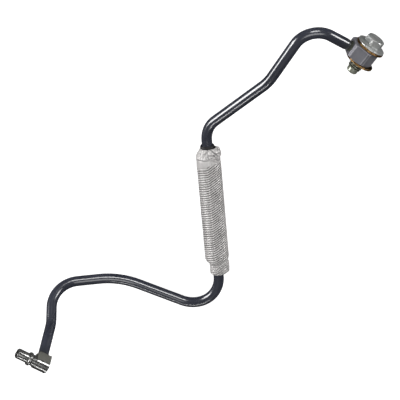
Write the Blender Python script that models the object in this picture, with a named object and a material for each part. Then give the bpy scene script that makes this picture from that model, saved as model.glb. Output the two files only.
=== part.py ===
"""Turbo oil feed line: a bent steel tube with a banjo union at one end and a plug-in elbow at the other.

Metres, +Z up. The line lies as it comes to rest: on its heat sleeve and on the rims of the banjo's washers,
with the elbow end in the air. Its origin is at the bottom centre of its box, and +X is its longest side.
"""

import math

import bmesh
import bpy
from mathutils import Matrix, Vector

MM = 0.001
GAP = 0.3 * MM  # running clearance between two pieces that touch on the real line
EDGE = 0.3 * MM  # small broken edge on turned and milled corners
PAST = 1.0 * MM  # how far a cutting tool runs past the face it cuts

# The line as a whole, between the middles of its two fittings.
LINE_LENGTH = 322.6 * MM
LINE_WIDTH = 139.7 * MM  # from the outermost bend on one side to the outermost on the other
LINE_RISE = 94.0 * MM  # how high the elbow stands over the floor

# The tube.
TUBE_OD = 8.0 * MM
TUBE_WALL = 1.0 * MM
TUBE_SIDES = 16
BEND_STEP = math.radians(12)
TUBE_END_TAPER = 1.6 * MM  # length of the swaged shoulder at the banjo end
TUBE_END_OD = 6.8 * MM

# The banjo union.
BLOCK_ACROSS_FLATS = 20.2 * MM
BLOCK_OFFSET = 2.9 * MM  # how far the block stands from the bolt's axis, towards the tube
BLOCK_HEIGHT = 11.0 * MM
BLOCK_CHAMFER = 1.3 * MM  # how far the end chamfers run down the block's corners
GALLERY_DIAMETER = 13.4 * MM  # ring gallery round the bolt, inside the block
GALLERY_HEIGHT = 4.4 * MM
SPIGOT_REACH = 8.0 * MM  # how far the spigot stands out of its flat
OIL_BORE = 3.6 * MM
WASHER_OD = 21.6 * MM
WASHER_THICKNESS = 1.1 * MM
WASHER_FOLD_DEPTH = 0.5 * MM  # groove between the two folds of a crush washer
THREAD_DIAMETER = 10.0 * MM
THREAD_PITCH = 1.5 * MM
THREAD_DEPTH = 0.7 * MM
THREAD_END = 16.4 * MM  # from the block's middle down to the bolt's tip
BOLT_TIP_LENGTH = 3.2 * MM
BOLT_TIP_DIAMETER = 8.0 * MM
BOLT_TIP_CHAMFER = 0.8 * MM
BOLT_BORE = 4.6 * MM
BOLT_BORE_PAST_MIDDLE = 3.0 * MM
CROSS_HOLE = 3.2 * MM
FLANGE_DIAMETER = 21.0 * MM
FLANGE_RIM = 0.8 * MM
FLANGE_STEP_DIAMETER = 17.6 * MM
FLANGE_HEIGHT = 1.7 * MM
HEAD_ACROSS_FLATS = 12.4 * MM
HEAD_HEIGHT = 5.2 * MM
HEAD_CHAMFER = 1.0 * MM
HEAD_TURN = math.radians(22)  # where the bolt stopped turning, against the block's flats

# The plug-in elbow.
ELBOW_WIDTH = 10.4 * MM
ELBOW_HEIGHT = 7.3 * MM  # from the stem's axis up to the tube's seat face
ELBOW_BACK = 5.5 * MM  # from the tube's axis to the blind end
ELBOW_FRONT = 5.9 * MM  # from the tube's axis to the stem's shoulder
ELBOW_CHAMFER = 0.8 * MM
ELBOW_SWEEP = 1.1 * MM  # how far the front face draws back between the stem's neck and the seat face
SOCKET_DEPTH = 4.2 * MM
STEM_DIAMETER = 7.9 * MM
STEM_REACH = 21.0 * MM  # from the tube's axis to the stem's tip
STEM_BORE = 5.2 * MM
NECK_DIAMETER = 8.7 * MM
NECK_LENGTH = 2.0 * MM
BEAD_DIAMETER = 10.6 * MM
BEAD_CENTRE = 10.0 * MM
BEAD_WIDTH = 3.0 * MM
STEM_CHAMFER = 0.6 * MM
ELBOW_TURN = math.radians(-131)  # the stem's direction about the tube's end

# The brazed joints.
BRAZE_WALL = 0.8 * MM
BRAZE_HEIGHT = 1.1 * MM

# The heat sleeve, by distances along it from its upper mouth.
SLEEVE_OD = 19.2 * MM
SLEEVE_FOIL = 0.35 * MM
SLEEVE_FROM_BEND = 5.6 * MM
SLEEVE_TO_BEND = 3.6 * MM  # the least run left between the sleeve and the bend below it
MOUTH_DIAMETER = 11.4 * MM
UPPER_COLLAR_LENGTH = 7.0 * MM
UPPER_COLLAR_DIAMETER = 17.6 * MM
BAND_LENGTH = 7.4 * MM
RIDGE_PITCH = 1.86 * MM
RIDGE_DEPTH = 0.8 * MM
SHOULDER_LENGTH = 3.6 * MM
LOWER_COLLAR_LENGTH = 9.4 * MM
LOWER_COLLAR_DIAMETER = 15.4 * MM
PLEAT_DEPTH = 0.55 * MM
SLEEVE_SIDES = 18
SEAM_SIDE = 4  # the side of the sleeve that carries the pressed seam
SEAM_DEPTH = 0.35 * MM
LINER_FROM_MOUTH = 4.0 * MM
LINER_FROM_END = 1.0 * MM
RING_WIDTH = 1.8 * MM
RING_WALL = 1.2 * MM

# The route. The sleeve's run and the bolt's washers carry the line on the floor, so their heights follow.
BANJO_HEIGHT = WASHER_OD / 2
SLEEVE_HEIGHT = SLEEVE_OD / 2


def on_line(length_share, width_share, height):
    """A point of the route: how far along and across the line as shares of its sizes, and its height."""
    return Vector((length_share * LINE_LENGTH, width_share * LINE_WIDTH, height))


BANJO = on_line(0.4857, 0.1382, BANJO_HEIGHT)
ELBOW = on_line(-0.5143, -0.0243, LINE_RISE)
# Each bend: the point where its two straight runs would meet, and the radius of its centre line.
BENDS = (
    (on_line(0.4526, 0.4481, 0.332 * LINE_RISE), 0.0527 * LINE_LENGTH),
    (on_line(0.2883, 0.3400, 0.245 * LINE_RISE), 0.1240 * LINE_LENGTH),
    (on_line(0.0856, 0.3443, SLEEVE_HEIGHT), 0.0620 * LINE_LENGTH),
    (on_line(-0.2126, -0.5519, SLEEVE_HEIGHT), 0.0713 * LINE_LENGTH),
    (on_line(-0.3481, -0.0143, 0.132 * LINE_RISE), 0.1922 * LINE_LENGTH),
    (on_line(-0.4569, 0.2176, 0.382 * LINE_RISE), 0.0713 * LINE_LENGTH),
    (on_line(-0.4848, 0.0752, 0.648 * LINE_RISE), 0.0930 * LINE_LENGTH),
)
SLEEVE_BEND = 2  # the sleeve lies on the run that leaves this bend, counting from 0

# Lengths that follow from the ones above.
TUBE_ID = TUBE_OD - 2 * TUBE_WALL
BLOCK_FLAT = BLOCK_OFFSET + BLOCK_ACROSS_FLATS / 2
BOLT_HOLE = THREAD_DIAMETER + 2 * GAP
TUBE_START = BLOCK_FLAT + GAP + BRAZE_HEIGHT + GAP + TUBE_END_TAPER
TUBE_FINISH = ELBOW_HEIGHT - SOCKET_DEPTH + GAP
HEAD_SEAT = BLOCK_HEIGHT / 2 + GAP + WASHER_THICKNESS + GAP
COLORS = {
    "painted_steel": ((0.048, 0.052, 0.070), 0.35, 0.25),
    "block_steel": ((0.135, 0.135, 0.160), 0.42, 0.75),
    "zinc_plate": ((0.46, 0.47, 0.45), 0.34, 0.85),
    "copper": ((0.45, 0.24, 0.10), 0.36, 0.95),
    "braze": ((0.10, 0.11, 0.07), 0.55, 0.40),
    "machined_steel": ((0.52, 0.52, 0.51), 0.20, 1.0),
    "foil": ((0.62, 0.61, 0.59), 0.42, 0.80),
    "glass_cloth": ((0.70, 0.66, 0.56), 0.95, 0.0),
    "black_band": ((0.012, 0.012, 0.014), 0.60, 0.0),
}
X_AXIS = Vector((1, 0, 0))
Z_AXIS = Vector((0, 0, 1))


def clear_scene():
    for thing in list(bpy.data.objects):
        bpy.data.objects.remove(thing, do_unlink=True)


def material(name):
    """The Principled material of one finish, made once."""
    found = bpy.data.materials.get(name)
    if found:
        return found
    made = bpy.data.materials.new(name)
    made.use_nodes = True
    shader = made.node_tree.nodes["Principled BSDF"]
    color, roughness, metallic = COLORS[name]
    shader.inputs["Base Color"].default_value = (*color, 1.0)
    shader.inputs["Roughness"].default_value = roughness
    shader.inputs["Metallic"].default_value = metallic
    return made


def object_from(bm, name, finish, place, smooth_angle=math.radians(35)):
    """A mesh object made from bm, with its faces outwards, hung on the line's empty at place."""
    bmesh.ops.remove_doubles(bm, verts=bm.verts, dist=1e-7)
    bmesh.ops.recalc_face_normals(bm, faces=bm.faces)
    mesh = bpy.data.meshes.new(name)
    bm.to_mesh(mesh)
    bm.free()
    mesh.shade_smooth()
    mesh.set_sharp_from_angle(angle=smooth_angle)
    made = bpy.data.objects.new(name, mesh)
    made.data.materials.append(material(finish))
    made.matrix_world = place
    bpy.context.scene.collection.objects.link(made)
    return made


def boolean(target, tool, operation):
    """Joins a helper solid to the target, or cuts it out of it, and leaves the helper out of the render."""
    change = target.modifiers.new(f"{operation.lower()}_{tool.name}", "BOOLEAN")
    change.operation = operation
    change.solver = "EXACT"
    change.object = tool
    tool.hide_render = True
    tool.display_type = "WIRE"


def lathe(profile, sides, axis=Z_AXIS):
    """A bmesh turned about an axis through the origin from (distance along it, radius) points.

    A profile whose ends lie on the axis is open, and any other is closed from its last point to its first.
    """
    bm = bmesh.new()
    across = axis.orthogonal().normalized()
    verts = [bm.verts.new(axis * along + across * radius) for along, radius in profile]
    edges = [bm.edges.new(pair) for pair in zip(verts, verts[1:])]
    if profile[0][1] > 0 or profile[-1][1] > 0:
        edges.append(bm.edges.new((verts[-1], verts[0])))
    bmesh.ops.spin(
        bm, geom=verts + edges, cent=(0, 0, 0), axis=axis, angle=2 * math.pi, steps=sides, use_merge=True
    )
    return bm


def prism(outline, axis, start, end):
    """A bmesh with one outline, a list of points in the plane across the axis, run from start to end."""
    bm = bmesh.new()
    foot = bm.faces.new([bm.verts.new(point + axis * start) for point in outline])
    grown = bmesh.ops.extrude_face_region(bm, geom=[foot])
    moved = [item for item in grown["geom"] if isinstance(item, bmesh.types.BMVert)]
    bmesh.ops.translate(bm, verts=moved, vec=axis * (end - start))
    return bm


def skin(rings):
    """A closed bmesh whose surface runs through the rings in turn, and back from the last to the first."""
    bm = bmesh.new()
    rows = [[bm.verts.new(point) for point in ring] for ring in rings]
    count = len(rows[0])
    for row, after in zip(rows, rows[1:] + rows[:1]):
        for i in range(count):
            j = (i + 1) % count
            bm.faces.new((row[i], row[j], after[j], after[i]))
    return bm


def hexagon(across_flats, first_flat=0.0):
    """The six corners of a hexagon round +Z, one of whose flats faces the angle first_flat."""
    corner = across_flats / 2 / math.cos(math.pi / 6)
    angles = [first_flat + math.pi / 6 + i * math.pi / 3 for i in range(6)]
    return [Vector((math.cos(a) * corner, math.sin(a) * corner, 0)) for a in angles]


def frame_along(origin, forward, turn):
    """A matrix at origin with +Z along forward, and +X level, then turned about forward."""
    level = forward.cross(Z_AXIS).normalized()
    side = forward.cross(level)
    across = level * math.cos(turn) + side * math.sin(turn)
    columns = (across, forward.cross(across), forward)
    return Matrix.LocRotScale(origin, Matrix(columns).transposed(), None)


def route_stations():
    """The tube's centre line as (point, direction) pairs: the ends, and every few degrees round each bend."""
    corners = [BANJO] + [corner for corner, _ in BENDS] + [ELBOW]
    first = (corners[1] - corners[0]).normalized()
    last = (corners[-1] - corners[-2]).normalized()
    stations = [(BANJO + first * TUBE_START, first)]
    for before, (corner, radius), after in zip(corners, BENDS, corners[2:]):
        stations += bend_stations(before, corner, radius, after)
    stations.append((ELBOW - last * TUBE_FINISH, last))
    return stations


def bend_stations(before, corner, radius, after):
    """The stations round one bend, whose arc touches the runs on both sides of its corner."""
    inward = (corner - before).normalized()
    outward = (after - corner).normalized()
    angle = inward.angle(outward)
    start = corner - inward * radius * math.tan(angle / 2)
    towards = (outward - inward * inward.dot(outward)).normalized()
    steps = max(2, math.ceil(angle / BEND_STEP))
    found = []
    for i in range(steps + 1):
        a = angle * i / steps
        point = start + inward * radius * math.sin(a) + towards * radius * (1 - math.cos(a))
        found.append((point, inward * math.cos(a) + towards * math.sin(a)))
    return found


def sleeve_frame():
    """The frame of the sleeve's run: its origin at the end of the bend above it, +Z down the run."""
    before = BENDS[SLEEVE_BEND - 1][0]
    corner, radius = BENDS[SLEEVE_BEND]
    after = BENDS[SLEEVE_BEND + 1][0]
    start, direction = bend_stations(before, corner, radius, after)[-1]
    return frame_along(start, direction, 0.0)


def feed_tube():
    """The steel tube: outside and bore carried along the route, with a swaged shoulder at the banjo end."""
    stations = route_stations()
    start, direction = stations[0]
    inner = TUBE_ID / 2
    swaged = (start - direction * TUBE_END_TAPER, direction)
    middle = (start - direction * TUBE_END_TAPER * 0.4, direction)
    outside = [(swaged, TUBE_END_OD / 2), (middle, TUBE_OD / 2 * 0.96)]
    outside += [(station, TUBE_OD / 2) for station in stations]
    bore = [(station, inner) for station in reversed(stations)] + [(swaged, inner)]
    across = direction.orthogonal().normalized()
    rings = []
    facing = direction
    for (point, ahead), radius in outside + bore:
        across = facing.rotation_difference(ahead) @ across
        facing = ahead
        side = ahead.cross(across)
        angles = [2 * math.pi * i / TUBE_SIDES for i in range(TUBE_SIDES)]
        rings.append([point + (across * math.cos(a) + side * math.sin(a)) * radius for a in angles])
    return object_from(skin(rings), "feed_tube", "painted_steel", Matrix())


def banjo_frame():
    """The banjo's frame: its origin where bolt and tube axes cross, +X along the tube, +Z to the bolt's head."""
    forward = (BENDS[0][0] - BANJO).normalized()
    about_tube = frame_along(BANJO, forward, 0.0)
    tube_to_x = Matrix(((0, 0, 1), (0, -1, 0), (1, 0, 0))).to_4x4()
    return about_tube @ tube_to_x


def chamfering_cone(across_flats, half_height, chamfer, sides):
    """A turned blank that takes the corners off a hexagon, as a nut's chamfer does."""
    corner = across_flats / 2 / math.cos(math.pi / 6)
    rim = corner - chamfer * math.tan(math.radians(60))
    low = half_height - chamfer
    wide = corner + EDGE
    profile = [(half_height, 0), (half_height, rim), (low, wide), (-low, wide), (-half_height, rim)]
    return lathe(profile + [(-half_height, 0)], sides)


def banjo_block():
    """The hexagonal banjo: chamfered corners, bolt hole with its ring gallery, and a drilled spigot."""
    place = banjo_frame()
    half = BLOCK_HEIGHT / 2
    blank = prism(hexagon(BLOCK_ACROSS_FLATS), Z_AXIS, -half - PAST, half + PAST)
    cone = chamfering_cone(BLOCK_ACROSS_FLATS, half, BLOCK_CHAMFER, 48)
    for shape in (blank, cone):
        bmesh.ops.translate(shape, verts=shape.verts, vec=Vector((BLOCK_OFFSET, 0, 0)))
    block = object_from(blank, "banjo_block", "block_steel", place, math.radians(25))
    boolean(block, object_from(cone, "block_chamfer_tool", "block_steel", place), "INTERSECT")
    reach = BLOCK_FLAT + SPIGOT_REACH
    root = GALLERY_DIAMETER / 2 + GAP
    spigot_radius = TUBE_ID / 2 - GAP
    spigot = lathe([(root, 0), (root, spigot_radius), (reach, spigot_radius), (reach, 0)], 20, X_AXIS)
    boolean(block, object_from(spigot, "spigot_tool", "block_steel", place), "UNION")
    end = half + PAST
    bored = [(end, 0), (end, BOLT_HOLE / 2), (GALLERY_HEIGHT / 2, BOLT_HOLE / 2)]
    bored += [(GALLERY_HEIGHT / 2, GALLERY_DIAMETER / 2), (-GALLERY_HEIGHT / 2, GALLERY_DIAMETER / 2)]
    bored += [(-GALLERY_HEIGHT / 2, BOLT_HOLE / 2), (-end, BOLT_HOLE / 2), (-end, 0)]
    boolean(block, object_from(lathe(bored, 32), "bolt_hole_tool", "block_steel", place), "DIFFERENCE")
    drilled = reach + PAST
    passage = lathe([(0, 0), (0, OIL_BORE / 2), (drilled, OIL_BORE / 2), (drilled, 0)], 16, X_AXIS)
    boolean(block, object_from(passage, "oil_passage_tool", "block_steel", place), "DIFFERENCE")
    return block


def thread_points(top, bottom):
    """The outside of the thread from top down to bottom, as ridges one pitch apart."""
    crest = THREAD_DIAMETER / 2
    root = crest - THREAD_DEPTH
    turns = int((top - bottom) / THREAD_PITCH)
    points = []
    for i in range(turns):
        z = top - i * THREAD_PITCH
        points += [(z, root), (z - THREAD_PITCH / 2, crest)]
    points.append((top - turns * THREAD_PITCH, root))
    return points


def bolt_profile():
    """The turned outside of the bolt from under its head to its tip, and back up its bore."""
    rim = FLANGE_DIAMETER / 2
    step = FLANGE_STEP_DIAMETER / 2
    tip = BOLT_TIP_DIAMETER / 2
    bore = BOLT_BORE / 2
    boss = HEAD_ACROSS_FLATS / 2
    top = HEAD_SEAT + FLANGE_HEIGHT
    rim_top = HEAD_SEAT + FLANGE_RIM
    profile = [(top + 2 * EDGE, 0), (top + 2 * EDGE, boss - EDGE), (top, boss + 4 * EDGE)]
    profile += [(rim_top + 2 * EDGE, step), (rim_top, step + EDGE), (rim_top - EDGE, rim - EDGE)]
    profile += [(HEAD_SEAT + EDGE, rim), (HEAD_SEAT, rim - EDGE), (HEAD_SEAT, THREAD_DIAMETER / 2)]
    thread_bottom = BOLT_TIP_LENGTH - THREAD_END
    profile += thread_points(-BLOCK_HEIGHT / 2, thread_bottom)
    profile += [(thread_bottom, tip), (BOLT_TIP_CHAMFER - THREAD_END, tip), (-THREAD_END, tip - BOLT_TIP_CHAMFER)]
    return profile + [(-THREAD_END, bore), (BOLT_BORE_PAST_MIDDLE, bore), (BOLT_BORE_PAST_MIDDLE + bore / 2, 0)]


def bolt_head(place):
    """The bolt's hexagon, whose end is turned to a low dome that takes the corners off."""
    top = HEAD_SEAT + FLANGE_HEIGHT + HEAD_HEIGHT
    bottom = HEAD_SEAT + FLANGE_RIM
    blank = prism(hexagon(HEAD_ACROSS_FLATS, HEAD_TURN), Z_AXIS, bottom, top + PAST)
    head = object_from(blank, "bolt_head_tool", "zinc_plate", place)
    corner = HEAD_ACROSS_FLATS / 2 / math.cos(math.pi / 6) + EDGE
    face = corner - HEAD_CHAMFER * 1.9
    dome = [(top, 0), (top, face), (top - HEAD_CHAMFER * 0.35, face + HEAD_CHAMFER)]
    dome += [(top - HEAD_CHAMFER * 1.1, corner), (HEAD_SEAT, corner), (HEAD_SEAT, 0)]
    boolean(head, object_from(lathe(dome, 48), "head_dome_tool", "zinc_plate", place), "INTERSECT")
    return head


def banjo_bolt():
    """The hollow bolt: hexagon head on a stepped flange, plain shank with cross holes, thread and pilot tip."""
    place = banjo_frame()
    bolt = object_from(lathe(bolt_profile(), 24), "banjo_bolt", "zinc_plate", place, math.radians(30))
    boolean(bolt, bolt_head(place), "UNION")
    reach = THREAD_DIAMETER
    for i, turn in enumerate((0.0, math.pi / 2)):
        direction = Vector((math.cos(turn), math.sin(turn), 0))
        hole = lathe([(-reach, 0), (-reach, CROSS_HOLE / 2), (reach, CROSS_HOLE / 2), (reach, 0)], 12, direction)
        boolean(bolt, object_from(hole, f"cross_hole_tool_{i}", "zinc_plate", place), "DIFFERENCE")
    return bolt


def crush_washer(name, middle):
    """A folded copper washer, whose rim shows the groove between its two folds."""
    rim = WASHER_OD / 2
    half = WASHER_THICKNESS / 2
    fold = WASHER_THICKNESS / 5
    groove = rim - WASHER_FOLD_DEPTH
    inner = THREAD_DIAMETER / 2 + GAP
    profile = [(half, inner), (half, rim - fold), (half - fold, rim), (fold, rim), (0, groove)]
    profile += [(-fold, rim), (fold - half, rim), (-half, rim - fold), (-half, inner)]
    place = banjo_frame() @ Matrix.Translation((0, 0, middle))
    return object_from(lathe(profile, 24), name, "copper", place)


def washers():
    stand_off = BLOCK_HEIGHT / 2 + GAP + WASHER_THICKNESS / 2
    crush_washer("upper_washer", stand_off)
    crush_washer("lower_washer", -stand_off)


def banjo_braze():
    """The ring of braze round the spigot, between the block's flat and the tube's swaged end."""
    inner = TUBE_ID / 2
    low = BLOCK_FLAT + GAP
    high = low + BRAZE_HEIGHT
    profile = [(low, inner), (low, inner + BRAZE_WALL * 1.5), (low + BRAZE_HEIGHT * 0.4, inner + BRAZE_WALL * 0.8)]
    profile += [(high, inner + BRAZE_WALL * 0.5), (high, inner)]
    ring = lathe(profile, 20, X_AXIS)
    return object_from(ring, "banjo_braze", "braze", banjo_frame())


def elbow_frame():
    """The elbow's frame: its origin where stem and tube axes cross, +X along the stem, +Z up the tube."""
    forward = (BENDS[-1][0] - ELBOW).normalized()
    return frame_along(ELBOW, forward, ELBOW_TURN)


def elbow_side_outline():
    """The elbow's outline from the side: square at the blind end, swept up from stem to tube at the other."""
    radius = ELBOW_WIDTH / 2
    neck = NECK_DIAMETER / 2
    back = -ELBOW_BACK
    outline = [(back, -radius), (ELBOW_FRONT, -radius), (ELBOW_FRONT, neck)]
    steps = 4
    for i in range(1, steps + 1):
        a = math.pi / 2 * i / steps
        outline.append((ELBOW_FRONT - ELBOW_SWEEP * math.sin(a), neck + (ELBOW_HEIGHT - neck) * (1 - math.cos(a))))
    outline += [(back + ELBOW_CHAMFER, ELBOW_HEIGHT), (back, ELBOW_HEIGHT - ELBOW_CHAMFER)]
    return [Vector((x, 0, z)) for x, z in outline]


def elbow_end_outline():
    """The elbow's outline from the end: a half round below the stem's axis and straight sides above it."""
    radius = ELBOW_WIDTH / 2
    angles = [math.pi + math.pi * i / 14 for i in range(15)]
    around = [Vector((0, math.cos(a) * radius, math.sin(a) * radius)) for a in angles]
    high = ELBOW_HEIGHT + PAST
    top = [(radius, high), (-radius, high)]
    return around + [Vector((0, y, z)) for y, z in top]


def stem_profile():
    """The plug-in stem, as (distance from the tube's axis, radius): neck, waist, bead, plain end, chamfer."""
    stem = STEM_DIAMETER / 2
    neck = NECK_DIAMETER / 2
    bead = BEAD_DIAMETER / 2
    half = BEAD_WIDTH / 2
    profile = [(0, 0), (0, neck), (ELBOW_FRONT + NECK_LENGTH, neck), (BEAD_CENTRE - half, stem + EDGE / 2)]
    for i in range(1, 6):
        a = math.pi * i / 6
        profile.append((BEAD_CENTRE - half * math.cos(a), stem + (bead - stem) * math.sin(a)))
    profile += [(BEAD_CENTRE + half, stem), (STEM_REACH - STEM_CHAMFER, stem)]
    return profile + [(STEM_REACH, stem - STEM_CHAMFER), (STEM_REACH, 0)]


def elbow_fitting():
    """The machined elbow: a block with a round underside, a beaded stem, and a socket for the tube."""
    place = elbow_frame()
    body = prism(elbow_end_outline(), X_AXIS, -ELBOW_BACK - PAST, ELBOW_FRONT + PAST)
    elbow = object_from(body, "elbow_fitting", "machined_steel", place, math.radians(28))
    side = prism(elbow_side_outline(), Vector((0, 1, 0)), -ELBOW_WIDTH, ELBOW_WIDTH)
    boolean(elbow, object_from(side, "elbow_side_tool", "machined_steel", place), "INTERSECT")
    stem = lathe(stem_profile(), 28, X_AXIS)
    boolean(elbow, object_from(stem, "stem_tool", "machined_steel", place), "UNION")
    bore = STEM_BORE / 2
    drilled = STEM_REACH + PAST
    along_stem = lathe([(-bore, 0), (0, bore), (drilled, bore), (drilled, 0)], 20, X_AXIS)
    boolean(elbow, object_from(along_stem, "stem_bore_tool", "machined_steel", place), "DIFFERENCE")
    floor = ELBOW_HEIGHT - SOCKET_DEPTH
    socket = TUBE_OD / 2 + GAP
    top = ELBOW_HEIGHT + PAST
    down = [(top, 0), (top, socket), (floor, socket), (floor, bore), (0, bore), (0, 0)]
    boolean(elbow, object_from(lathe(down, 24), "socket_tool", "machined_steel", place), "DIFFERENCE")
    return elbow


def elbow_braze():
    """The fillet of braze round the tube where it enters the elbow."""
    inner = TUBE_OD / 2 + GAP
    low = ELBOW_HEIGHT + GAP
    profile = [(low, inner), (low, inner + BRAZE_WALL), (low + BRAZE_HEIGHT * 0.35, inner + BRAZE_WALL * 0.5)]
    profile += [(low + BRAZE_HEIGHT, inner + BRAZE_WALL * 0.2), (low + BRAZE_HEIGHT, inner)]
    return object_from(lathe(profile, 24), "elbow_braze", "braze", elbow_frame())


def sleeve_run():
    """How much straight tube lies between the bend above the sleeve and the bend below it."""
    corners = [corner for corner, _ in BENDS]
    above = bend_stations(corners[SLEEVE_BEND - 1], *BENDS[SLEEVE_BEND], corners[SLEEVE_BEND + 1])
    below = bend_stations(corners[SLEEVE_BEND], *BENDS[SLEEVE_BEND + 1], corners[SLEEVE_BEND + 2])
    return (below[0][0] - above[-1][0]).length


def ridge_count():
    """As many ridges as the sleeve's run leaves room for between the band and the lower shoulder."""
    plain = UPPER_COLLAR_LENGTH + BAND_LENGTH + SHOULDER_LENGTH + LOWER_COLLAR_LENGTH
    return int((sleeve_run() - SLEEVE_FROM_BEND - SLEEVE_TO_BEND - plain) / RIDGE_PITCH)


def sleeve_rows():
    """The sleeve's outside as (distance from its mouth, radius, depth of the pleats there, ridge or not)."""
    crest = SLEEVE_OD / 2
    upper = UPPER_COLLAR_DIAMETER / 2
    lower = LOWER_COLLAR_DIAMETER / 2
    mouth = MOUTH_DIAMETER / 2
    first = UPPER_COLLAR_LENGTH
    rows = [(0, mouth, PLEAT_DEPTH * 0.4, False), (first * 0.25, mouth + (upper - mouth) * 0.6, PLEAT_DEPTH, False)]
    rows += [(first * 0.6, upper, PLEAT_DEPTH, False)]
    rows += [(first * 0.9, upper - PLEAT_DEPTH, PLEAT_DEPTH * 0.5, False)]
    band = crest - RIDGE_DEPTH / 4
    rows += [(first + BAND_LENGTH * 0.15, band, 0, False), (first + BAND_LENGTH * 0.85, band, 0, False)]
    z = first + BAND_LENGTH
    for _ in range(ridge_count()):
        rows += [(z, crest - RIDGE_DEPTH, 0, True), (z + RIDGE_PITCH / 2, crest, 0, True)]
        z += RIDGE_PITCH
    rows += [(z, crest - RIDGE_DEPTH, 0, True), (z + SHOULDER_LENGTH * 0.4, band, 0, False)]
    z += SHOULDER_LENGTH
    rows += [(z, lower + EDGE, PLEAT_DEPTH * 0.5, False)]
    rows += [(z + LOWER_COLLAR_LENGTH * 0.4, lower, PLEAT_DEPTH, False)]
    rows += [(z + LOWER_COLLAR_LENGTH * 0.75, lower + EDGE, PLEAT_DEPTH, False)]
    rows += [(z + LOWER_COLLAR_LENGTH, lower - EDGE, PLEAT_DEPTH * 0.6, False)]
    return rows


def sleeve_radius(side, radius, pleat, ridged):
    """The sleeve's radius on one of its sides: pleats go in and out in turn, and the seam is pressed in."""
    radius -= pleat * (side % 2)
    if ridged and side == SEAM_SIDE:
        radius = min(radius, SLEEVE_OD / 2 - SEAM_DEPTH)
    return radius


def heat_sleeve():
    """The corrugated foil sleeve: crimped collars, a plain band and its ridges, as one thin wall."""
    outside = []
    inside = []
    for z, radius, pleat, ridged in sleeve_rows():
        ring = []
        lining = []
        for side in range(SLEEVE_SIDES):
            a = 2 * math.pi * side / SLEEVE_SIDES
            r = sleeve_radius(side, radius, pleat, ridged)
            around = Vector((math.cos(a), math.sin(a), 0))
            ring.append(around * r + Vector((0, 0, z)))
            lining.append(around * (r - SLEEVE_FOIL) + Vector((0, 0, z)))
        outside.append(ring)
        inside.append(lining)
    place = sleeve_frame() @ Matrix.Translation((0, 0, SLEEVE_FROM_BEND))
    return object_from(skin(outside + inside[::-1]), "heat_sleeve", "foil", place, math.radians(20))


def sleeve_liner():
    """The glass-cloth lining that fills the sleeve and grips the tube."""
    inner = TUBE_OD / 2 + GAP
    outer = LOWER_COLLAR_DIAMETER / 2 - EDGE - PLEAT_DEPTH - SLEEVE_FOIL - GAP
    end = sleeve_rows()[-1][0] - LINER_FROM_END
    start = LINER_FROM_MOUTH
    edge = 2 * EDGE
    profile = [(start, inner), (start, outer - edge), (start + edge, outer), (end - edge, outer)]
    profile += [(end, outer - edge), (end, inner)]
    place = sleeve_frame() @ Matrix.Translation((0, 0, SLEEVE_FROM_BEND))
    return object_from(lathe(profile, 24), "sleeve_liner", "glass_cloth", place)


def sleeve_ring():
    """The black band that closes the sleeve's upper mouth on the tube."""
    inner = TUBE_OD / 2 + GAP
    outer = inner + RING_WALL
    end = -GAP
    start = end - RING_WIDTH
    profile = [(start, inner), (start, outer - EDGE), (start + EDGE, outer), (end - EDGE, outer)]
    profile += [(end, outer - EDGE), (end, inner)]
    place = sleeve_frame() @ Matrix.Translation((0, 0, SLEEVE_FROM_BEND))
    return object_from(lathe(profile, 24), "sleeve_ring", "black_band", place)


def settle(pieces):
    """Hangs every object on one empty and moves it so that the line's box stands on z = 0 about the origin."""
    line = bpy.data.objects.new("oil_feed_line", None)
    bpy.context.scene.collection.objects.link(line)
    bpy.context.view_layer.update()
    graph = bpy.context.evaluated_depsgraph_get()
    low = Vector((math.inf,) * 3)
    high = Vector((-math.inf,) * 3)
    for piece in pieces:
        shape = piece.evaluated_get(graph)
        for vertex in shape.data.vertices:
            point = shape.matrix_world @ vertex.co
            low = Vector(map(min, low, point))
            high = Vector(map(max, high, point))
    for thing in bpy.context.scene.objects:
        if thing != line:
            thing.parent = line
    line.location = (-(low.x + high.x) / 2, -(low.y + high.y) / 2, -low.z)


def main():
    clear_scene()
    feed_tube()
    banjo_block()
    banjo_bolt()
    washers()
    banjo_braze()
    elbow_fitting()
    elbow_braze()
    heat_sleeve()
    sleeve_liner()
    sleeve_ring()
    settle([thing for thing in bpy.context.scene.objects if not thing.hide_render])


main()
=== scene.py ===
# %% [markdown]
# # A turbo oil feed line, dressed for its picture
# The line carries engine oil to the bearings of a turbocharger. It is one bent steel tube with a banjo union and its
# hollow bolt at the hot end, a plug-in elbow at the cold end, and a crimped foil sleeve that keeps heat off the oil.
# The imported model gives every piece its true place, and the cells below build a finer skin over each, and then its
# finish.

import math

import bmesh
import bpy
import numpy as np
from mathutils import Matrix


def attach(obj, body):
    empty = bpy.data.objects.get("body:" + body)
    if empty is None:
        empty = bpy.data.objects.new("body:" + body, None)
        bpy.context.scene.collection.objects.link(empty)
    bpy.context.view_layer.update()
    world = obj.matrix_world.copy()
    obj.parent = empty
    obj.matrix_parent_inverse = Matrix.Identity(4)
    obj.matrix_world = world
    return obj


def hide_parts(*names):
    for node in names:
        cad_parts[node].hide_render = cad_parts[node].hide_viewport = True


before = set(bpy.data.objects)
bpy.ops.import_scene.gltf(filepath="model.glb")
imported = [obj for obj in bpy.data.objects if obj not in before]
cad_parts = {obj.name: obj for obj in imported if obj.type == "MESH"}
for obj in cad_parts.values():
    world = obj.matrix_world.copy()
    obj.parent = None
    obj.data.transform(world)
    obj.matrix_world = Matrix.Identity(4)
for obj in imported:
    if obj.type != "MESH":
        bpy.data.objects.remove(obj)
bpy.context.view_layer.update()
MM = 0.001
print("nodes", sorted(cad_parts))

# %% [markdown]
# ## Places
# A bent tube is drawn as its straight runs: the points where they would meet, each with the radius of the bender's
# former. The sleeve lies on the floor and the banjo stands on its washers' rims, so their heights are half of what they
# rest on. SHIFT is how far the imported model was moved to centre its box.

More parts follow.
